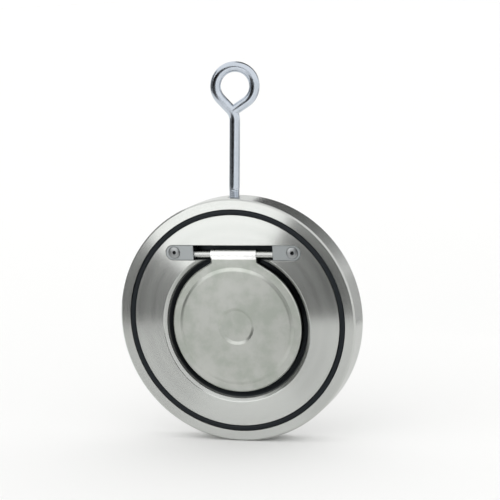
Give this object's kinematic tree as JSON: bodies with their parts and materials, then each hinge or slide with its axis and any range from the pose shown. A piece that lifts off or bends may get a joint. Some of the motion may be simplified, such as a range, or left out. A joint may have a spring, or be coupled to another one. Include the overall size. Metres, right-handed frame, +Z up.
{
  "type": "wafer check valve",
  "caption": "Thin wafer swing check valve: a turned stainless disc with a hinged round flap in an open recess, flush shaft retainers, O-ring face seals and a wire lifting eye.",
  "frame": {"origin": "on the pipe axis, halfway through the body's thickness", "axes": "+Z up from the hinge to the lifting eye; +Y along the pipe from the outlet face to the inlet face, against the flow; +X along the hinge shaft, to the right when looking at the outlet face"},
  "size_m": [0.162, 0.0214, 0.2507],
  "materials": {
    "turned_stainless": "fine-turned stainless steel",
    "cast_stainless": "blasted and pickled stainless casting",
    "machined_stainless": "milled and ground stainless steel",
    "screw_stainless": "plain stainless steel",
    "zinc_plated_wire": "bright blue zinc plate on drawn wire",
    "o_ring_rubber": "matt black nitrile rubber"
  },
  "bodies": {
    "body": {"valve_body": "turned_stainless", "outlet_face_ring": "o_ring_rubber", "inlet_face_ring": "o_ring_rubber", "left_shaft_retainer": "machined_stainless", "right_shaft_retainer": "machined_stainless", "left_retainer_screw": "screw_stainless", "right_retainer_screw": "screw_stainless", "eye_bolt": "zinc_plated_wire"},
    "flap": {"flap": "cast_stainless", "hinge_shaft": "machined_stainless", "flap_seal_ring": "o_ring_rubber"}
  },
  "joints": [
    {"name": "flap_hinge", "type": "hinge", "parent": "body", "child": "flap", "pos_m": [0, -0.006, 0.0439], "axis": [-1, 0, 0], "range_deg": [0, 67]}
  ]
}
